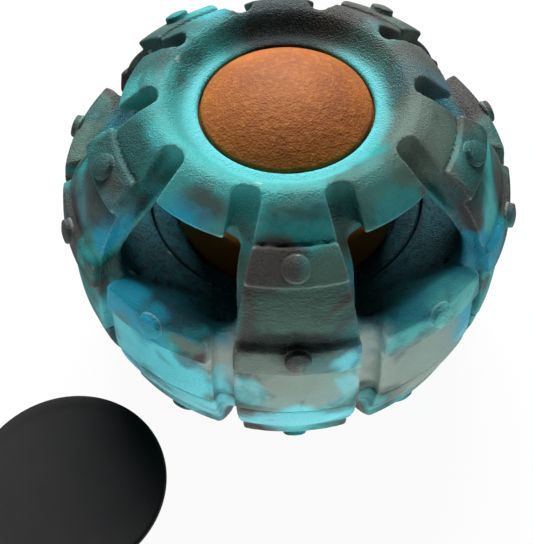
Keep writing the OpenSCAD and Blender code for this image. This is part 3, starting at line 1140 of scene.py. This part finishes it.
@dataclass
class TopShell:
    """The treaded shell with its top ring, windows, bowl and collar, in millimetres and degrees."""

    tread: Tread
    belt_from: float = 7.7
    belt_face_to: float = 15.6
    belt_to: float = 18.4
    rib_from: float = 45.0
    rib_to: float = 61.0
    rib_t: float = 2.2
    rivet_up: float = 0.4
    plate_bevels: Point = (0.7, 0.5)
    plate_soften: float = 0.12
    soften: float = 0.22
    seam_turn: float = 0.4
    crown_h: float = 79.0
    crown_in_r: float = 28.6
    crown_out_r: float = 30.8
    crown_camber: float = 0.3
    band_r: float = 32.6
    band_drop: float = 1.2
    band_foot: Point = (38.9, 72.1)
    groove_end: float = 0.2
    lip_r: float = 22.4
    lip_h: float = 74.2
    lip_t: float = 2.1
    mouth_r: float = 20.2
    mouth_round: float = 0.9
    wall_t: float = 5.6
    collar_l: float = 9.5
    window_low_h: float = 55.8
    window_top_h: float = 70.9
    window_low_w: float = 32.0
    window_top_w: float = 19.5
    window_in_r: float = 33.5
    window_corner: float = 8.0
    window_top_round: float = 1.0
    window_in_round: float = 2.0
    window_edge: float = 0.7
    window_edge_more: float = 2.3
    window_edge_l: float = 8.0
    sill_fall: float = 0.55
    sill_r: float = 52.0
    sill_l: float = 8.0
    bowl_hole_r: float = 34.0
    bowl_c: Point = (30.0, 60.5)
    bowl_r: float = 15.6
    bowl_from: float = -15.0
    bowl_t: float = 3.4
    under: Point = (48.0, 46.0)
    thread: Thread = Thread(3.6, 4.6, 0.8, 60.0, True)
    voxel: float = 0.5
    kept_share: float = 0.4

    def outline(self) -> list[Point]:
        """Profile of the shell without its plates."""
        t = self.tread
        seam = t.point(t.seam_slope)
        edge_h = self.crown_h - self.crown_camber
        width, rise = self.crown_in_r - self.lip_r, edge_h - self.lip_h
        dish = [(self.lip_r + width * a / 180, self.lip_h + rise * (1 - math.cos(math.radians(a))) / 2)
                for a in range(180, -1, -15)]
        mouth_c = (self.mouth_r + self.mouth_round, self.lip_h - self.mouth_round)
        inner_r, under_r = t.shoulder_r - self.wall_t, self.bowl_r + self.bowl_t
        sill = math.degrees(math.asin((self.window_low_h - t.shoulder_c[1]) / inner_r))
        hole = -math.degrees(math.acos((self.bowl_hole_r - self.bowl_c[0]) / self.bowl_r))
        below = -math.degrees(math.acos((t.collar_r - self.bowl_c[0]) / under_r))
        top = t.seam_h + self.collar_l
        return [
            (t.collar_r, t.seam_h), (seam[0] - t.seam_bevel, t.seam_h),
            *t.arc(t.seam_slope + self.seam_turn, t.shoulder_to),
            self.band_foot, (self.band_r, self.crown_h - self.band_drop),
            (self.crown_out_r, edge_h),
            ((self.crown_in_r + self.crown_out_r) / 2, self.crown_h),
            *dish,
            *circle_arc(mouth_c, self.mouth_round, 90, 180),
            (self.mouth_r, self.lip_h - self.lip_t), (self.lip_r, self.lip_h - self.lip_t),
            *t.arc(t.shoulder_to, sill, -self.wall_t),
            *circle_arc(self.bowl_c, self.bowl_r, self.bowl_from, hole, 12),
            (self.bowl_hole_r, self.bowl_c[1] - self.bowl_r),
            *circle_arc(self.bowl_c, under_r, hole, below, 12),
            self.under, (self.under[0], top + 1), (t.collar_r, top),
        ]

    def floor(self) -> Profile:
        """The solid that the grooves leave."""
        t = self.tread
        low, top = t.seam_h - t.overrun, self.crown_h - t.groove_d
        return Profile([
            (AXIS_OVERRUN, low), (t.point(t.seam_slope, -t.groove_d)[0], low),
            *t.arc(t.seam_slope, t.shoulder_to, -t.groove_d),
            (self.crown_in_r, top), (AXIS_OVERRUN, top)], t.floor_soften)

    def plate_rings(self) -> tuple[Profile, Profile]:
        """Profiles of the belt's plates and of the ribs' upper plates."""
        t = self.tread
        belt = [*t.arc(self.belt_from, self.belt_face_to, t.plate_t), t.point(self.belt_to),
                *t.arc(self.belt_to + 2, self.belt_from, -t.plate_root)]
        rib = [*t.arc(self.rib_from, self.rib_to, self.rib_t),
               *t.arc(t.shoulder_to + 1, self.rib_from, -t.plate_root)]
        return Profile(belt, self.plate_soften), Profile(rib, self.plate_soften)

    def cut_windows(self, solid: np.ndarray, block: Block) -> np.ndarray:
        """Takes out the five windows, which run in towards the axis, over softly rounded sills."""
        turn = wrapped(block.azimuth, self.tread.sector, 2 * self.tread.sector)
        across = np.abs(block.radius * np.sin(turn))[..., None]
        along = (block.radius * np.cos(turn))[..., None]
        height = block.heights[None, None, :]
        rise = self.window_top_h - self.window_low_h
        lean = (self.window_low_w - self.window_top_w) / 2 / rise
        side = across - self.window_top_w / 2 - (self.window_top_h - height) * lean
        fall = self.sill_fall * np.clip(self.sill_r - along, 0, self.sill_l)
        sill = self.window_low_h - height - fall
        opening = smooth_max(side / math.hypot(1, lean), sill, self.window_corner)
        opening = smooth_max(opening, height - self.window_top_h, self.window_top_round)
        opening = smooth_max(opening, self.window_in_r - along, self.window_in_round)
        below = np.clip((self.window_top_h - 1 - height) / self.window_edge_l, 0, 1)
        return smooth_max(solid, -opening, self.window_edge + self.window_edge_more * below)

    def build(self, rubber: bpy.types.Material) -> None:
        """Makes the shell, its rivet heads and the ridges in its collar."""
        t = self.tread
        block = t.block(t.seam_h, self.crown_h, self.voxel, self.kept_share)
        solid = Profile(self.outline(), self.soften).over(block)
        for ring, every, bevel in zip(self.plate_rings(), (1, 2), self.plate_bevels):
            solid = t.add_plates(solid, block, ring, every, bevel)
        solid = t.cut_grooves(solid, block, self.crown_in_r + self.groove_end, self.floor())
        solid = self.cut_windows(solid, block)
        ready(block.mesh("treaded_shell", solid), rubber, Body.SHELL, "top_shell")
        belt_at = (self.belt_from + self.belt_face_to) / 2 + self.rivet_up
        rib_at = (self.rib_from + self.rib_to) / 2
        rows = {belt_at: (t.sectors, 0.0, t.point(belt_at, t.plate_t)),
                rib_at: (t.sectors // 2, 0.0, t.point(rib_at, self.rib_t))}
        ready(Rivets().rows("shell_rivet_heads", rows, rubber), rubber, Body.SHELL)
        ridges = self.thread.ridge("collar_thread", t.collar_r, t.seam_h, rubber)
        ready(ridges, rubber, Body.SHELL)


@dataclass
class BaseCap:
    """The treaded base with its foot, neck, seat ring and well, in millimetres and degrees."""

    tread: Tread
    foot_r: float = 36.2
    disc_r: float = 26.6
    disc_d: float = 1.8
    plate_from: float = 27.0
    plate_to: float = 50.0
    plate_bevel: float = 0.8
    plate_soften: float = 0.15
    soften: float = 0.25
    seam_turn: float = 1.2
    top_overrun: float = 20.0
    pilot_clear: float = 0.08
    pilot_round: float = 0.05
    pilot_l: float = 2.4
    thread_room: float = 1.6
    neck_l: float = 8.6
    neck_in_r: float = 41.5
    deck_h: float = 33.0
    well_r: float = 24.0
    well_floor_r: float = 20.0
    floor_t: float = 6.2
    seat_r: float = 28.0
    seat_wall: float = 5.6
    seat_h: float = 36.5
    ring_out_h: float = 44.8
    ring_in_h: float = 42.4
    ring_round: float = 0.9
    chamfer: float = 0.7
    deck_bevel: float = 1.4
    thread: Thread = Thread(4.2, 3.6, 0.9)
    voxel: float = 0.55
    kept_share: float = 0.45

    def outline(self) -> list[Point]:
        """Profile of the base without its plates."""
        t = self.tread
        seam = t.base_point(t.base_seam_slope)
        pilot = t.collar_r - self.pilot_clear - self.pilot_round
        neck = t.collar_r - self.thread_room
        top = t.seam_h + self.neck_l
        out = self.seat_r + self.seat_wall
        fall = (self.ring_out_h - self.ring_in_h) / self.seat_wall
        lift, run, soft = math.degrees(math.atan(fall)), math.hypot(1, fall), self.ring_round
        well_h = self.disc_d + self.floor_t
        return [
            (AXIS_OVERRUN, self.disc_d), (self.disc_r, self.disc_d),
            (self.disc_r + self.disc_d / 2, 0.0), (self.foot_r, 0.0),
            *t.arc(-self.plate_to - 3, t.base_seam_slope - self.seam_turn, 0.0, base=True),
            (seam[0] - t.seam_bevel, t.seam_h), (pilot, t.seam_h), (pilot, t.seam_h + self.pilot_l),
            (neck, t.seam_h + self.pilot_l + self.thread_room),
            (neck, top - self.chamfer), (neck - self.chamfer, top), (self.neck_in_r, top),
            (out + self.deck_bevel, self.deck_h), (out, self.deck_h + self.chamfer),
            *circle_arc((out - soft, self.ring_out_h - soft * (fall + run)), soft, 0, 90 + lift),
            *circle_arc((self.seat_r + soft, self.ring_in_h + soft * (fall - run)), soft, 90 + lift, 180),
            (self.seat_r, self.seat_h), (self.well_r, self.seat_h),
            (self.well_floor_r, well_h), (AXIS_OVERRUN, well_h),
        ]

    def floor(self) -> Profile:
        """The solid that the grooves leave."""
        t = self.tread
        inner = self.foot_r - t.groove_low_w
        steepest = -math.degrees(math.acos((inner - t.base_c[0]) / (t.base_arc_r - t.groove_d)))
        low, top = -t.overrun, t.seam_h + self.top_overrun
        return Profile([
            (AXIS_OVERRUN, low), (inner, low),
            *t.arc(steepest, t.base_seam_slope, -t.groove_d, base=True),
            (t.base_point(t.base_seam_slope, -t.groove_d)[0], top),
            (AXIS_OVERRUN, top)], t.floor_soften)

    def build(self, rubber: bpy.types.Material) -> None:
        """Makes the base, its rivet heads and the ridges on its neck."""
        t = self.tread
        block = t.block(0.0, self.ring_out_h, self.voxel, self.kept_share)
        bevel = math.degrees(t.plate_bevel / t.base_arc_r)
        ring = [(self.foot_r, 0.0),
                *t.arc(-self.plate_to, -self.plate_from - bevel, t.plate_t, base=True),
                t.base_point(-self.plate_from),
                *t.arc(-self.plate_from + 2, -self.plate_to - 10, -t.plate_root, base=True)]
        solid = Profile(self.outline(), self.soften).over(block)
        solid = t.add_plates(solid, block, Profile(ring, self.plate_soften), 1, self.plate_bevel)
        solid = t.cut_grooves(solid, block, self.foot_r - t.groove_low_w, self.floor())
        ready(block.mesh("treaded_base", solid), rubber, Body.BASE, "base_cap")
        middle = -(self.plate_from + self.plate_to + bevel) / 2
        rows = {middle: (t.sectors, 0.0, t.base_point(middle, t.plate_t))}
        ready(Rivets().rows("base_rivet_heads", rows, rubber), rubber, Body.BASE)
        ridges = self.thread.ridge("neck_thread", t.collar_r - self.thread_room, t.seam_h, rubber)
        ready(ridges, rubber, Body.BASE)


@dataclass
class Treat:
    """The moulded treat: a dome on straight sides, in millimetres."""

    radius: float = 27.5
    height: float = 44.0
    seat_h: float = 36.5
    edge_round: float = 5.0
    lip_low: float = 72.0
    lip_high: float = 73.9
    cap_r: float = 19.5
    swell: float = 0.1
    swell_shares: tuple[float, ...] = (0.35, 0.6, 0.85)
    bottom_shares: tuple[float, ...] = (0.0, 0.25, 0.5, 0.7)
    side_steps: int = 24
    dome_steps: int = 40
    roughness: float = 0.12
    lump_size: float = 2.2
    sunk_share: float = 0.6
    seed: float = 7.0

    def outline(self) -> list[Point]:
        """Profile of the treat: a little inside its solid for its lumps, and fuller above the lip."""
        r = self.radius - self.roughness
        low, top = self.seat_h, self.seat_h + self.height - self.roughness
        dome_h = self.seat_h + self.height - self.radius
        bend_h = low + self.edge_round
        bottom = [(r * share, low) for share in self.bottom_shares]
        edge = circle_arc((r - self.edge_round, bend_h), self.edge_round, -90, 0, 16)
        side = [(r, bend_h + (dome_h - low - self.edge_round) * i / self.side_steps)
                for i in range(1, self.side_steps)]
        below = math.degrees(math.asin((self.lip_low - dome_h) / r))
        swell = [(self.cap_r + self.swell, self.lip_low + (self.lip_high - self.lip_low) * share)
                 for share in self.swell_shares]
        rise = top - self.lip_high
        ball_r = (self.cap_r ** 2 + rise ** 2) / (2 * rise)
        rim = math.degrees(math.acos(self.cap_r / ball_r))
        cap = circle_arc((0.0, top - ball_r), ball_r, rim, 90, self.dome_steps)
        dome = circle_arc((0.0, dome_h), r, 0, below, self.dome_steps)
        return bottom + edge + side + dome + swell + cap

    def build(self, crust: bpy.types.Material) -> None:
        """Makes the treat with its fine lumps."""
        made = lathe("moulded_treat", self.outline(), 240)
        growth = Growth("lumps", {
            "Lump size": self.lump_size * MM, "Depth": self.roughness * MM, "Seed": self.seed})
        scale = growth.math("DIVIDE", 1.0, growth.size("Lump size"))
        noise = growth.add("ShaderNodeTexNoise", {
            "W": growth.size("Seed"), "Scale": scale, "Detail": 3.0}, noise_dimensions="4D")
        lump = growth.math("SUBTRACT", noise.outputs["Fac"], self.sunk_share)
        depth = growth.math("MULTIPLY", lump, growth.size("Depth"))
        normal = growth.add("GeometryNodeInputNormal").outputs[0]
        push = growth.add("ShaderNodeVectorMath", {0: normal, "Scale": depth}, operation="SCALE")
        moved = growth.add("GeometryNodeSetPosition", {
            "Geometry": growth.source.outputs["Geometry"], "Offset": push.outputs[0]})
        ready(growth.run(made, moved.outputs[0], crust), crust, Body.TREAT, "treat_ball")


@dataclass
class Stopper:
    """The mouth's stopper: a dished flange on a beaded barrel, in millimetres."""

    flange_r: float = 23.78
    flange_t: float = 1.8
    flange_dish: float = 0.7
    flange_skin: float = 0.02
    flange_curve: float = 0.6
    flange_shares: tuple[float, ...] = (0.88, 0.8, 0.7, 0.6, 0.45, 0.3, 0.15, 0.0)
    barrel_r: float = 19.8
    barrel_l: float = 10.0
    barrel_wall: float = 3.0
    lead_in: Point = (0.15, 2.0)
    straight_h: float = 4.0
    corner: float = 0.6
    corner_in: float = 0.2
    hollow_round: float = 2.0
    bead_h: float = 0.25
    bead_r: float = 0.45
    bead_at: tuple[float, float, float] = (1.5, 3.2, 8.4)

    def outline(self) -> list[Point]:
        """Profile of the stopper, from the middle of its hollow out, up and over the flange."""
        r, soft, hollow = self.barrel_r, self.corner, self.hollow_round
        top = self.barrel_l + self.flange_t - self.flange_skin
        inner = r - self.barrel_wall
        roof = self.barrel_l - self.flange_t
        half = self.flange_t / 2
        dish = [(self.flange_r * s, top - self.flange_dish * (1 - s * s) ** self.flange_curve)
                for s in self.flange_shares]
        return [
            (0.0, roof), (inner - 2 * hollow, roof),
            *circle_arc((inner - hollow, roof - hollow), hollow, 90, 0, 5),
            (inner, self.straight_h), (inner, soft), *circle_arc((inner + soft, soft), soft, 180, 270, 4),
            *circle_arc((r - self.corner_in - soft, soft), soft, 270, 360, 4),
            (r - self.lead_in[0], self.lead_in[1]),
            (r, self.straight_h), (r, self.barrel_l - self.corner_in - soft),
            *circle_arc((r + soft, self.barrel_l - soft), soft, 180, 90, 4),
            *circle_arc((self.flange_r - half, self.barrel_l + half), half, -90, 90, 12), *dish,
        ]

    def build(self, silicone: bpy.types.Material) -> None:
        """Makes the stopper and its grip beads where the CAD part stands."""
        low, high = (Vector(corner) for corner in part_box("stopper"))
        place = Matrix.Translation(((low.x + high.x) / 2, (low.y + high.y) / 2, low.z))
        plug = lathe("mouth_stopper", self.outline(), 160)
        plug.data.transform(place)
        ready(plug, silicone, Body.STOPPER, "stopper")
        beads = self.beads(silicone)
        beads.data.transform(place)
        ready(beads, silicone, Body.STOPPER)

    def beads(self, silicone: bpy.types.Material) -> bpy.types.Object:
        """The fine beads that grip the mouth, as rings round the barrel."""
        sizes = {f"Height {i}": height * MM for i, height in enumerate(self.bead_at)}
        ring_r = (self.barrel_r + self.bead_h - self.bead_r) * MM
        growth = Growth("grip_beads", {"Ring radius": ring_r, "Bead radius": self.bead_r * MM, **sizes})
        ring, wire = (growth.add("GeometryNodeCurvePrimitiveCircle", {
            "Resolution": count, "Radius": growth.size(label)}).outputs[0]
            for count, label in ((160, "Ring radius"), (12, "Bead radius")))
        bead = growth.add("GeometryNodeCurveToMesh", {"Curve": ring, "Profile Curve": wire}).outputs[0]
        beads = [growth.add("GeometryNodeTransform", {
            "Geometry": bead, "Translation": growth.point(z=growth.size(label))}).outputs[0]
            for label in sizes]
        return growth.run(meshed("grip_beads", [], [], []), growth.joined(beads), silicone)


@dataclass
class Studio:
    """Floor, room, lamp and camera."""

    paper: str = "#f0f0f0"
    table_half: float = 3.0
    dim_y: float = -0.14
    whiteness: float = 0.95
    table_glow: float = 3.3
    table_dim: float = 0.3
    room_glow: float = 0.035
    distance: float = 253.0
    target_h: float = 49.0
    elevation: float = 48.99
    azimuth: float = 2.99
    aim_right: float = -1.07
    aim_up: float = -5.28
    roll: float = 0.2
    focal_px: float = 1018.9
    frame_px: float = 544.0
    sensor: float = 36.0

    def camera(self) -> None:
        """Looks at the ball from the photograph's side, a little off its middle."""
        lens = bpy.data.cameras.new("camera")
        made = placed("camera", lens)
        lens.sensor_width = self.sensor
        lens.lens = self.focal_px * self.sensor / self.frame_px
        lens.clip_start, lens.clip_end = 0.01, 20
        e, w = math.radians(self.elevation), math.radians(self.azimuth)
        back = Vector((-math.sin(w) * math.cos(e), -math.cos(w) * math.cos(e), math.sin(e)))
        target = Vector((0, 0, self.target_h * MM))
        look = (-back).to_track_quat("-Z", "Y").to_matrix().to_4x4()
        turns = ((-self.aim_right, "Y"), (self.aim_up, "X"), (self.roll, "Z"))
        yaw, pitch, roll = (Matrix.Rotation(math.radians(angle), 4, axis) for angle, axis in turns)
        spot = Matrix.Translation(target + back * self.distance * MM)
        made.matrix_world = spot @ look @ (yaw @ pitch @ roll)
        bpy.context.scene.camera = made

    def lamp(self, name: str, azimuth: float, elevation: float, away: float, size: float,
             power: float) -> None:
        """Adds a soft square lamp that faces the ball.

        Args:
            name: the lamp's name.
            azimuth: its side, from -Y towards +X.
            elevation: its height above the horizon, in degrees.
            away: its distance in metres.
            size: its edge in metres.
            power: its power in watts.
        """
        lamp = bpy.data.lights.new(name, "AREA")
        lamp.size, lamp.energy = size, power
        made = placed(name, lamp)
        a, e = math.radians(azimuth), math.radians(elevation)
        spot = Vector((math.sin(a) * math.cos(e), -math.cos(a) * math.cos(e), math.sin(e))) * away
        made.location = spot + Vector((0, 0, self.target_h * MM))
        made.rotation_mode = "QUATERNION"
        made.rotation_quaternion = (-spot).to_track_quat("-Z", "Y")

    def floor(self) -> None:
        """A light table: pale to the camera, with the ball's faint shadow, and a soft light from below."""
        half = self.table_half
        corners = [(-half, -half, 0), (half, -half, 0), (half, half, 0), (-half, half, 0)]
        made = meshed("floor", corners, [], [(0, 1, 2, 3)])
        paint = Paint("paper")
        below = paint.add("ShaderNodeMapRange", {
            "Value": paint.axes[1], "From Min": 0.0, "From Max": self.dim_y,
            "To Min": self.table_dim, "To Max": self.table_glow})
        white = paint.add("ShaderNodeEmission", {
            "Color": (1, 1, 1, 1), "Strength": self.level(paint, below.outputs[0])})
        sheet = paint.add("ShaderNodeBsdfDiffuse", {"Color": linear(self.paper)})
        shader = paint.add("ShaderNodeMixShader", {
            0: self.whiteness, 1: sheet.outputs[0], 2: white.outputs[0]})
        paint.add("ShaderNodeOutputMaterial", {"Surface": shader.outputs[0]})
        made.data.materials.append(paint.material)

    def level(self, graph: Graph, rest: object) -> Socket:
        """Full white to the camera, and another strength to the rest."""
        path = graph.add("ShaderNodeLightPath")
        return graph.add("ShaderNodeMix", {
            "Factor": path.outputs["Is Camera Ray"], 2: rest, 3: 1.0}).outputs[0]

    def world(self) -> None:
        """White to the camera and a dim plain room to the rest."""
        world = bpy.data.worlds.new("studio")
        bpy.context.scene.world = world
        world.use_nodes = True
        graph = Graph(world.node_tree)
        glow = graph.add("ShaderNodeBackground", {
            "Color": (1, 1, 1, 1), "Strength": self.level(graph, self.room_glow)})
        graph.add("ShaderNodeOutputWorld", {"Surface": glow.outputs[0]})

    def build(self) -> None:
        """Sets up the whole studio."""
        bpy.context.scene.view_settings.view_transform = "Standard"
        self.floor()
        self.world()
        self.camera()
        self.lamp("back", azimuth=180, elevation=42, away=1.0, size=0.7, power=28.0)


def main() -> None:
    """Builds every piece in order."""
    logging.basicConfig(level=logging.INFO, format="%(name)s: %(message)s")
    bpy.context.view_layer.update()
    tread = Tread()
    rubber = MarbledRubber().build("marbled_moulded_rubber")
    TopShell(tread).build(rubber)
    BaseCap(tread).build(rubber)
    Treat().build(MouldedTreat().build("baked_treat_paste"))
    Stopper().build(BlackSilicone().build("black_moulded_silicone"))
    Studio().build()


if __name__ == "__main__":
    main()
